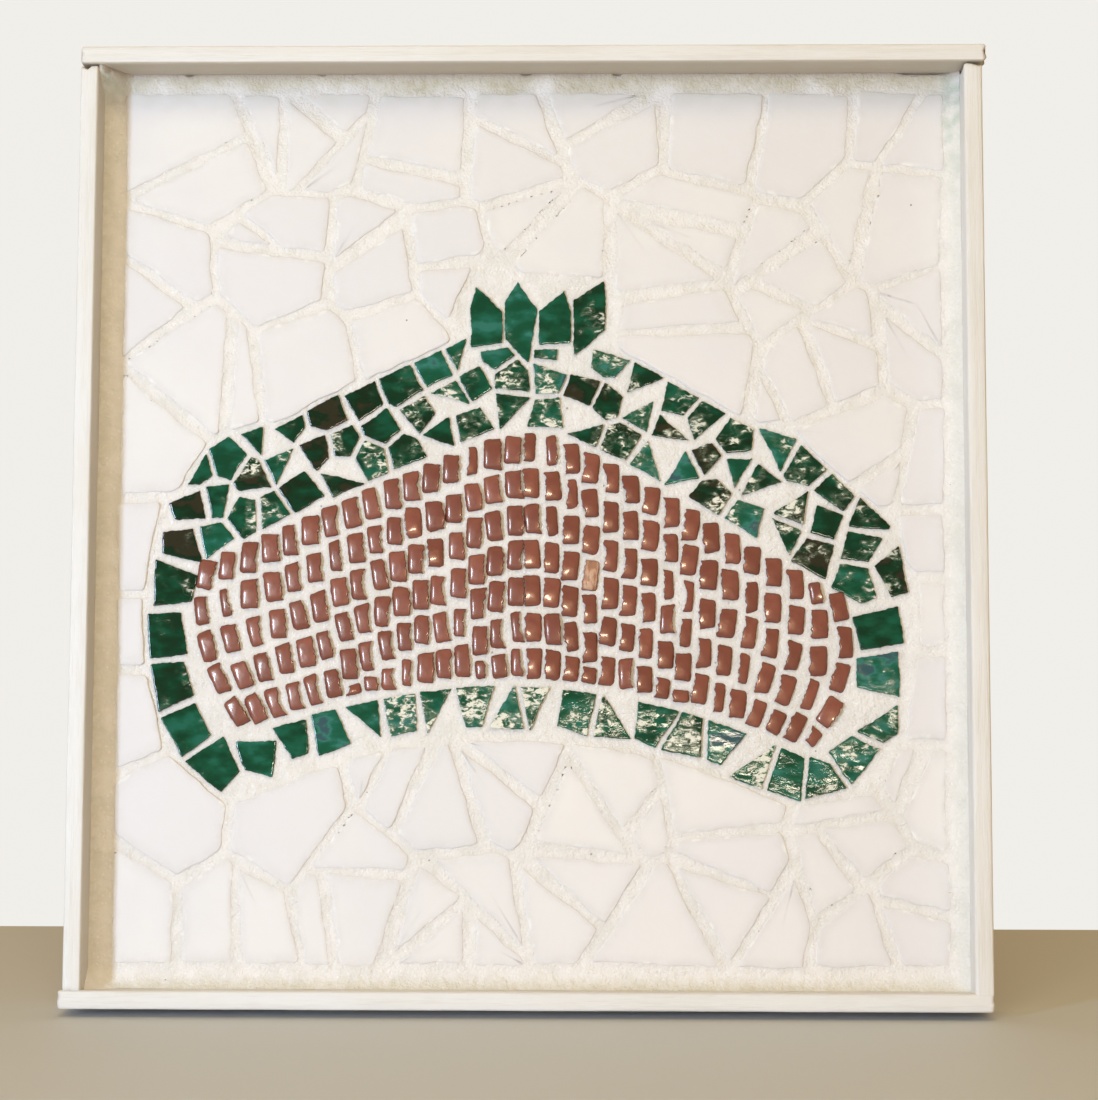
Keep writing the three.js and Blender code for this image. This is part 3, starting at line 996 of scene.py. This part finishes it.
# For each part of the border: the share of its shards that get painted glints, and the share away from the
# middle, how strong the painted sheen and glints are, and the darkest and the palest tone.
GREEN_PARTS = {
    "crown": (0.7, 0.7, (0.45, 0.85), (0.35, 0.85)),
    "upper": (0.9, 0.5, (0.45, 0.85), (0, 0.85)),
    "ends": (0.4, 0.4, (0.45, 0.85), (0.25, 0.85)),
    "lower": (1, 0.25, (0.65, 0.95), (0.3, 0.95)),
}
LEAST_GLINT = 0.1


def green_part(x, z):
    if z > 56:
        return "crown"
    if z > field_top(x):
        return "upper"
    return "ends" if abs(x) > 96 else "lower"


def lay_green():
    dice = Dice(31)
    piles = {name: Pile("tone", "rim", "foil") for name in GREEN_PARTS}
    for number, corners in enumerate(GREEN):
        x, z = middle_of(corners)
        loop = ragged(corners, [0.4] * len(corners), 0.6, 0.4, 0.3, 40 + number * 1.7)
        MOTIF_LOOPS.append(loop)
        where = green_part(x, z)
        likely, likely_away, strength, tones = GREEN_PARTS[where]
        if (x <= -25) if where == "upper" else (abs(x) >= 54):
            likely = likely_away
        # how much painted sheen and glint each shard gets
        foil = dice.between(*strength) if dice.roll() < likely else LEAST_GLINT
        tone, top = dice.between(*tones), TILE_TOP + dice.between(-0.2, 0.3)
        tilt_x, tilt_z = dice.between(-0.012, 0.012), dice.between(-0.012, 0.012)

        def face(at):
            flat = top + tilt_x * (at[:, 0] - x) + tilt_z * (at[:, 1] - z)
            ripple = 0.08 * swell(at * (0.7, 1.3), 2.6, number)
            return flat + ripple * (0.3 + 0.7 * foil) + 0.08 * swell(at, 6, number + 5)

        places, heights, faces, near = tile_body(loop, TILE_BASE, face, 0.2, 0.55)
        piles[where].add(raised(places, heights), faces, tone=tone, rim=near, foil=foil)
    for name, pile in piles.items():
        pile.make("green_glass_" + name, "green_glass", green_glass)


def half_tile_loop(width, length, bow, dice, seed):
    """A half tile about its own middle: rounded corners on the left, a bowed jagged cut on the right."""
    w, l = width / 2, length / 2
    slant = [dice.between(-0.5, 0.5) for _ in range(4)]
    corners = [(-w, slant[0] - l), (w, slant[1] - l), (w, slant[2] + l), (-w, slant[3] + l)]
    loop = ragged(corners, [1.1, 0.3, 0.3, 1.1], 0.5, 0.36, 0.2, seed)
    nipped = np.clip(loop[:, 0] / w * 1.3 - 0.3, 0, 1)
    jag = 0.62 * swell(loop, 1.5, seed + 3) + 0.42 * swell(loop, 0.7, seed + 4)
    notch = dice.between(-0.4, 0.4)
    loop[:, 0] += nipped * (bow * np.clip(1 - (loop[:, 1] / l - notch) ** 2, 0, 1) + jag)
    return loop


def rounding(distance, reach):
    """How far a rounded edge has dropped at a distance inside it, from 1 at the edge to 0."""
    short = 1 - np.clip(distance / reach, 0, 1)
    return 1 - np.sqrt(1 - short * short)


BROWN_PARTS = ("left_end", "left_middle", "right_middle", "right_end")


def lay_brown():
    dice = Dice(67)
    piles = {}
    away = [hypot(tile[0] - PALE_AT[0], tile[1] - PALE_AT[1]) for tile in BROWN]
    pale_tile = away.index(min(away))
    for number, (mx, mz, width, length, lean, cut_side, column) in enumerate(BROWN):
        bow = dice.between(-1.4, 0.3) if dice.roll() < 0.7 else dice.between(-0.1, 0.5)
        local = half_tile_loop(width, length, bow, dice, 90 + number * 1.3)
        top = TILE_TOP + BROWN_PROUD + dice.between(-0.12, 0.12)
        tilt = dice.between(-0.02, 0.02)

        def face(at):
            from_edge, from_end = at[:, 0] + width / 2, length / 2 - np.abs(at[:, 1])
            edges = 0.5 * rounding(from_edge, 1.5) + 0.5 * rounding(from_end, 1.5)
            crown = 0.65 * (1 - np.clip(from_edge / 5.5, 0, 1)) ** 2 + 0.6 * (at[:, 1] / 5) ** 2
            return top - edges - crown + tilt * at[:, 0] + 0.05 * swell(at, 2.5, number)

        places, heights, faces, near = tile_body(local, TILE_BASE, face, 0.18, 0.5)
        if cut_side < 0:
            places[:, 0] *= -1
            local = local * (-1, 1)
            faces = [f[::-1] for f in faces]
        turn = np.array([[cos(lean), -sin(lean)], [sin(lean), cos(lean)]])
        MOTIF_LOOPS.append(local @ turn + (mx, mz))
        pile = piles.setdefault(column * len(BROWN_PARTS) // COLUMNS, Pile("tone", "rim", "pale"))
        pale = 1.0 if number == pale_tile else 0.0
        pile.add(raised(places @ turn + (mx, mz), heights), faces, tone=dice.roll(), rim=near, pale=pale)
    for part, pile in zip(BROWN_PARTS, piles.values()):
        pile.make("brown_tiles_" + part, "brown_glaze", brown_glaze)


lay_white()
lay_green()
lay_brown()

# ---- grout ----
GROUT_STEP = 0.85
SEALED = 0.4  # how much closer the grout comes to the strips than its solid does
HIDDEN = -1.0  # the grout sinks out of sight this far inside a tile's edge
SPILL = 0.38  # how far the grout stands over its solid, away from the tiles
FILLET_HIGH, LIP_HIGH, TOP_LIP_HIGH = 2.4, 0.65, 0.4
TOP_LUMP_HIGH, LOW_LUMP_HIGH = 12.5, 6  # the grout left in the top left and bottom left corners
CREVICE_DEEP = 1.6


def gap_field(xs, zs, loops):
    """How far each grid point is from the nearest tile's edge, and negative under a tile."""
    field = np.full((len(zs), len(xs)), 9.0)
    for loop in loops:
        low, high = loop.min(0) - 4, loop.max(0) + 4
        i0, i1 = np.searchsorted(xs, (low[0], high[0]))
        j0, j1 = np.searchsorted(zs, (low[1], high[1]))
        gx, gz = np.meshgrid(xs[i0:i1], zs[j0:j1])
        near = np.full(gx.shape, 99.0)
        inside = np.zeros(gx.shape, bool)
        for (ax, az), (bx, bz) in zip(loop, np.roll(loop, -1, 0)):
            dx, dz = bx - ax, bz - az
            along = np.clip(((gx - ax) * dx + (gz - az) * dz) / max(dx * dx + dz * dz, 1e-9), 0, 1)
            near = np.minimum(near, np.hypot(gx - ax - dx * along, gz - az - dz * along))
            if az != bz:
                inside ^= ((az > gz) != (bz > gz)) & (gx < (bx - ax) * (gz - az) / (bz - az) + ax)
        window = field[j0:j1, i0:i1]
        np.minimum(window, np.where(inside, -near, near), out=window)
    return field.ravel()


def grout_faces(floor):
    """Grid squares, merged into larger ones where they lie wholly on the floor under a tile, the points used,
    and each point's number among them."""
    rows, columns = floor.shape
    taken = np.zeros((rows, columns), bool)
    squares = []
    for size in (8, 4, 2, 1):
        for j in range(0, rows - size, size):
            for i in range(0, columns - size, size):
                if taken[j:j + size, i:i + size].any():
                    continue
                if size == 1 or floor[j:j + size + 1, i:i + size + 1].all():
                    squares.append((i, j, size))
                    taken[j:j + size, i:i + size] = True
    used = np.zeros((rows, columns), bool)
    for i, j, size in squares:
        used[j:j + size + 1:size, i:i + size + 1:size] = True
    number = np.cumsum(used.ravel()) - 1
    faces = []
    for i, j, size in squares:
        around = [(i + k, j) for k in range(size)] + [(i + size, j + k) for k in range(size)]
        around += [(i + size - k, j + size) for k in range(size)] + [(i, j + size - k) for k in range(size)]
        faces.append([int(number[b * columns + a]) for a, b in around if used[b, a]])
    return faces, used.ravel(), number


def close_to(distance, reach, most=1.0):
    """How near something is: most at its place and 1 less for each reach away, kept between 0 and 1."""
    return np.clip(most - distance / reach, 0, 1)


def grout_fillet(spots, left, right, below, above):
    """How far the grout is smeared up the strips: wavy, more in the left corners, with crevices under the top
    rail. Left, right, below and above are the distances to the strips."""
    wobble = swell(spots, 9, 21) + 0.5 * swell(spots, 3, 22)
    low_wall = np.minimum(np.minimum(left, right), below)
    from_corner = np.hypot(left, above)
    reach = 4.5 + 1.6 * wobble + 6 * close_to(from_corner, 24)
    height = FILLET_HIGH * close_to(low_wall, reach) ** 2
    height += LIP_HIGH * close_to(np.minimum(low_wall, above), 4.2, 1.6 + 0.7 * wobble)
    height += TOP_LIP_HIGH * close_to(above, 4, 1.3 + 0.8 * wobble)
    lump = 13.5 - 1.15 * from_corner - 0.3 * np.abs(left - above) + 1.5 * wobble
    height += np.clip(lump, 0, TOP_LUMP_HIGH) * (1 + 0.25 * swell(spots, 2.2, 23))
    height += np.clip(7 - 0.75 * np.hypot(left, 1.4 * below) + wobble, 0, LOW_LUMP_HIGH)
    crevice = np.clip(swell(spots * (1, 0), 3.5, 31) * 4 - 1.2, 0, 1) + close_to(np.abs(right - 12), 7, 1.5)
    return height - CREVICE_DEEP * np.clip(crevice, 0, 1) * close_to(above, 0.6, 1.4)


def grout_marks(spots, left, right, below, above, motif_gap, white_gap, rough):
    """Stains along the strips and soiling by the tiles and under the top rail, each with painted shade, and
    grey smears, from 0 to 1.
    """
    patchy = np.clip(0.5 + rough * 3, 0, 1)
    broad = swell(spots, 11, 61)
    top_lump = close_to(np.hypot(left, above), 9, 1.6)
    low_lump = close_to(np.hypot(left, 1.4 * below), 6, 1.7)
    # stains with painted shade along the strips and under the top rail
    stain_and_shade = 0.8 * close_to(np.minimum(np.minimum(left, right), below), 4.5) * (0.4 + 0.6 * patchy)
    stain_and_shade = np.maximum(stain_and_shade, close_to(above, 6, 1.35 + broad) * (0.55 + 0.45 * patchy))
    stain_and_shade *= np.where(left > 20, np.clip(right / 9, 0.1, 1), 1)
    stain_and_shade *= (1 - 0.75 * top_lump) * (1 - 0.8 * low_lump)
    # soiling with painted shade: darker by the tiles' edges and under the top rail
    dirt_and_shade = 0.35 * np.exp(-np.maximum(motif_gap, 0) / 0.5)
    dirt_and_shade = np.maximum(dirt_and_shade, 0.1 * np.exp(-np.maximum(white_gap, 0) / 0.5))
    dirt_and_shade = np.maximum(dirt_and_shade, 0.95 * np.exp(-above / (1.5 + broad)))
    smear = close_to(np.hypot(right / 9, above / 40), 1, 1.4) * np.clip(0.5 + 2 * swell(spots, 4, 51), 0, 1)
    smear = np.maximum(smear, 0.3 * close_to(right, 4, 1.3))
    smear = np.maximum(smear, top_lump * np.clip(0.7 + 1.2 * swell(spots, 2.5, 52), 0, 1))
    return {"stain_and_shade": stain_and_shade, "dirt_and_shade": dirt_and_shade, "smear": smear}


def lay_grout():
    x0, z0 = GROUT_LOW[0] - SEALED, GROUT_LOW[2] - SEALED
    x1, z1 = GROUT_HIGH[0] + SEALED, GROUT_HIGH[2] + SEALED
    xs = np.linspace(x0, x1, round((x1 - x0) / GROUT_STEP) + 1)
    zs = np.linspace(z0, z1, round((z1 - z0) / GROUT_STEP) + 1)
    motif_gap, white_gap = gap_field(xs, zs, MOTIF_LOOPS), gap_field(xs, zs, WHITE_LOOPS)
    gap = np.minimum(white_gap, motif_gap)
    spots = np.stack([part.ravel() for part in np.meshgrid(xs, zs)], 1)
    x, z = spots[:, 0], spots[:, 1]
    from_strips = (x - x0, x1 - x, z - z0, z1 - z)
    rough = 0.22 * swell(spots, 2.6, 3) + 0.2 * swell(spots, 1.3, 8)
    level = GROUT_THICK + SPILL - 0.25 * (1 - np.exp(-np.maximum(gap, 0) / 0.9)) + rough
    level -= 0.42 * close_to(motif_gap, 4, 1.5)
    level += grout_fillet(spots, *from_strips)
    level = np.minimum(level, BACK_Y - RAIL_TOP[0][1] - 1)
    floor = gap < HIDDEN - 2.5 * (1 - np.clip((z1 - z - 9) / 3, 0, 1))
    level = np.where(floor, TILE_BASE, level)
    columns, rows = len(xs), len(zs)
    count = columns * rows
    faces, used, number = grout_faces(floor.reshape(rows, columns))
    points = raised(spots, level)[used]
    first = len(points)
    points = np.concatenate([points, [(x, BACK_Y, z) for x, z in ((x0, z0), (x1, z0), (x1, z1), (x0, z1))]])
    edges = (range(columns), range(columns - 1, count, columns))
    edges += (range(count - 1, count - columns - 1, -1), range(count - columns, -1, -columns))
    for k, edge in enumerate(edges):
        faces.append([int(number[i]) for i in edge[::-1]] + [first + k, first + (k + 1) % 4])
    faces.append([first + 3, first + 2, first + 1, first])
    marks = grout_marks(spots, *from_strips, motif_gap, white_gap, rough)
    pile = Pile(*marks)
    pile.add(points, faces, **{name: np.append(value[used], [0] * 4) for name, value in marks.items()})
    pile.make("grout", "grout", grout_finish(), ["grout_bed"], sharp=70)


lay_grout()


# ---- the strips ----
def strip_section(half_thick, front, back, radius):
    """Points round a strip's section, as (across, y), anticlockwise seen along the strip."""
    ring = []
    for number, (side, end) in enumerate(((1, -1), (1, 1), (-1, 1), (-1, -1))):
        cx, cy = side * (half_thick - radius), (front if end < 0 else back) - end * radius
        for k in range(4):
            turn = radians(90 * number - 90 + 30 * k)
            ring.append((cx + radius * cos(turn), cy + radius * sin(turn)))
    dense = []
    for (ax, ay), (bx, by) in zip(ring, ring[1:] + ring[:1]):
        pieces = max(1, ceil(hypot(bx - ax, by - ay) / 2.2))
        dense += [(ax + (bx - ax) * k / pieces, ay + (by - ay) * k / pieces) for k in range(pieces)]
    return np.array(dense)


PAINT_PLAY, BACK_PLAY = 0.12, 0.16  # room for the paint's unevenness inside the strip's solid
STRIP_ROUND = 0.8
END_STEPS = [0, 0.1, 0.35, 0.8, 1.4]
END_REACH = 2.2  # how far from its end a strip is crumbled, or its joint filled
OPEN_JOINT = 0.3  # how deep an end has to be crumbled for its joint to be open
INNER_FACE = 0.6  # how thick the face that looks in is, across the strip


def paint_push(at, across, y, seed):
    """How far the paint stands out of or sinks into a strip's side."""
    long_swell = noise.noise(Vector((at * 0.05, across * 0.12, y * 0.12 + seed)))
    return 0.09 * long_swell + 0.05 * noise.noise(Vector((at * 0.5, across * 0.8, y * 0.8 + seed)))


def strip(name, box, along_x, inside, material, inner_face_shade, seed, ragged_ends):
    """A painted strip with soft uneven edges, with painted shade on the side that faces in (1 is right or
    up), each end crumbled to its own depth."""
    low, high = box
    axis, across_axis = (0, 2) if along_x else (2, 0)
    total = high[axis] - low[axis]
    middle = (low[across_axis] + high[across_axis]) / 2
    half = (high[across_axis] - low[across_axis]) / 2
    section = strip_section(half - PAINT_PLAY, low[1] + PAINT_PLAY, high[1] - BACK_PLAY, STRIP_ROUND)
    centre = section.mean(0)
    inner = np.linspace(END_REACH, total - END_REACH, int(total / 2.4))
    points, wear, stain_and_shade = [], [], []
    for at in END_STEPS + list(inner) + [total - step for step in reversed(END_STEPS)]:
        end, crumbled = (at, ragged_ends[0]) if at < total / 2 else (total - at, ragged_ends[1])
        open_joint = min(1, crumbled / OPEN_JOINT)
        joint_dirt = max(0, 1 - end / 1.6) * open_joint * (0.2 + 0.5 * (crumbled > OPEN_JOINT))
        shrink = 0.6 * open_joint * max(0, 1 - end / 0.8) ** 2
        for across, y in section + np.clip(centre - section, -1, 1) * shrink:
            out = Vector((across - centre[0], (y - centre[1]) * 0.25)).normalized()
            out *= paint_push(at, across, y, seed)
            chip = max(0, 0.35 + noise.noise(Vector((across * 0.45, y * 0.45, seed + 9)))) * crumbled
            inward = (chip - 0.95 * (1 - open_joint)) * max(0, 1 - end / END_REACH)
            point = [0, y + out[1], 0]
            point[axis] = low[axis] + at + inward * (1 if at < total / 2 else -1)
            point[across_axis] = middle + across + out[0]
            points.append(point)
            wear.append(min(1, chip * 2.5) * max(0, 1 - end / 1.1))
            # painted shade on the face that looks in, and soiling by an open joint
            stain_and_shade.append(max(inner_face_shade if across * inside > half - INNER_FACE else 0.0, joint_dirt))
    n = len(section)
    count = len(points) // n
    faces = ring_faces(count, n)
    faces += [list(range(n))[::-1], [(count - 1) * n + i for i in range(n)]]
    if along_x:
        faces = [face[::-1] for face in faces]
    pile = Pile("wear", "stain_and_shade")
    pile.add(np.array(points), faces, wear=wear, stain_and_shade=stain_and_shade)
    pile.make(name.replace("frame_", "painted_"), "white_paint", material, [name])


paint_across = paint_finish("white_paint_across", (0.05, 1, 1))
paint_up = paint_finish("white_paint_up", (1, 1, 0.05))
strip("frame_rail_top", RAIL_TOP, True, -1, paint_across, inner_face_shade=1.15, seed=1, ragged_ends=(0.3, 1.2))
strip("frame_rail_bottom", RAIL_BOTTOM, True, 1, paint_across, inner_face_shade=0.3, seed=2, ragged_ends=(0.3, 0.3))
strip("frame_stile_left", STILE_LEFT, False, 1, paint_up, inner_face_shade=0.78, seed=3, ragged_ends=(0.12, 1.7))
strip("frame_stile_right", STILE_RIGHT, False, -1, paint_up, inner_face_shade=0.1, seed=4, ragged_ends=(0.0, 1.8))

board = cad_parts["backing_board"]
board.data.materials.clear()
board.data.materials.append(board_finish())


# ---- stage, light and camera ----
LEAN = radians(6.0)  # the panel leans back, so the floor under it slopes down towards the viewer
FLOOR_SIDE, FLOOR_FRONT, FLOOR_BACK = 6, -6, 0.196
CAMERA_AT = (0.0264, -0.9488, -0.1074)
CAMERA_YAW, CAMERA_ROLL, CAMERA_LENS = radians(1.21), radians(0.165), 91.6
ROOM_STRENGTH = 0.52


def floor_finish():
    material, _, shader = finish("pale_floor")
    shader["Base Color"].default_value = (0.60, 0.61, 0.62, 1)
    shader["Roughness"].default_value = 0.6
    return material


def lay_floor():
    mesh = bpy.data.meshes.new("floor")
    front, back = [(y, cad_box[0].z - 0.1 * MM + y * tan(LEAN)) for y in (FLOOR_FRONT, FLOOR_BACK)]
    mesh.from_pydata([(-FLOOR_SIDE, *front), (FLOOR_SIDE, *front), (FLOOR_SIDE, *back), (-FLOOR_SIDE, *back)],
                     [], [(0, 1, 2, 3)])
    mesh.materials.append(floor_finish())
    floor = bpy.data.objects.new("floor", mesh)
    bpy.context.collection.objects.link(floor)


def light(name, place_at, size, power, colour, mirrored=True):
    """A rectangular light that looks at the middle of the panel's back."""
    lamp = bpy.data.lights.new(name, "AREA")
    lamp.shape = "RECTANGLE"
    lamp.size, lamp.size_y = size
    lamp.energy = power
    lamp.color = colour
    made = bpy.data.objects.new(name, lamp)
    made.location = place_at
    made.visible_glossy = mirrored
    made.rotation_euler = (-Vector(place_at)).to_track_quat("-Z", "Y").to_euler()
    bpy.context.collection.objects.link(made)


def set_camera():
    data = bpy.data.cameras.new("camera")
    data.lens = CAMERA_LENS
    data.clip_end = 50
    camera = bpy.data.objects.new("camera", data)
    level = Vector((-sin(CAMERA_YAW), cos(CAMERA_YAW), 0))
    ahead = level * cos(LEAN) + Vector((0, 0, sin(LEAN)))
    right = Vector((cos(CAMERA_YAW), sin(CAMERA_YAW), 0))
    up = right.cross(ahead)
    turned_right = right * cos(CAMERA_ROLL) + up * sin(CAMERA_ROLL)
    turned_up = up * cos(CAMERA_ROLL) - right * sin(CAMERA_ROLL)
    turn = Matrix((turned_right, turned_up, -ahead)).transposed()
    camera.matrix_world = Matrix.Translation(CAMERA_AT) @ turn.to_4x4()
    bpy.context.collection.objects.link(camera)
    bpy.context.scene.camera = camera


def set_world():
    """A warm dim room, darkest behind the viewer, which the camera sees as a paler backdrop."""
    world = bpy.data.worlds.new("studio")
    world.use_nodes = True
    tree = world.node_tree
    room = tree.nodes["Background"]
    towards = node(tree, "ShaderNodeTexCoord").outputs["Generated"]
    behind = times(node(tree, "ShaderNodeSeparateXYZ", {0: towards}).outputs["Y"], -1.0)
    link(mixed(ramp(behind, 0.80, 0.97), (1.0, 0.73, 0.395), (0.30, 0.22, 0.12)), room.inputs["Color"])
    room.inputs["Strength"].default_value = ROOM_STRENGTH
    backdrop = node(tree, "ShaderNodeBackground", {"Color": (0.88, 0.86, 0.82), "Strength": 1.0})
    seen = node(tree, "ShaderNodeLightPath").outputs["Is Camera Ray"]
    both = node(tree, "ShaderNodeMixShader", {0: seen, 1: room.outputs[0], 2: backdrop.outputs[0]})
    link(both.outputs[0], tree.nodes["World Output"].inputs["Surface"])
    bpy.context.scene.world = world


lay_floor()
light("window", (-0.745, -1.07, -0.05), (0.13, 0.36), power=10.2, colour=(0.54, 0.735, 1.0))
light("ceiling", (-0.1, -1.0, 1.05), (0.5, 0.4), power=4.5, colour=(1.0, 0.9, 0.555), mirrored=False)
light("lamp", (0.09, -1.0, -0.13), (0.16, 0.07), power=1.9, colour=(1.0, 0.86, 0.68))
set_camera()
set_world()
bpy.context.scene.view_settings.view_transform = "Standard"
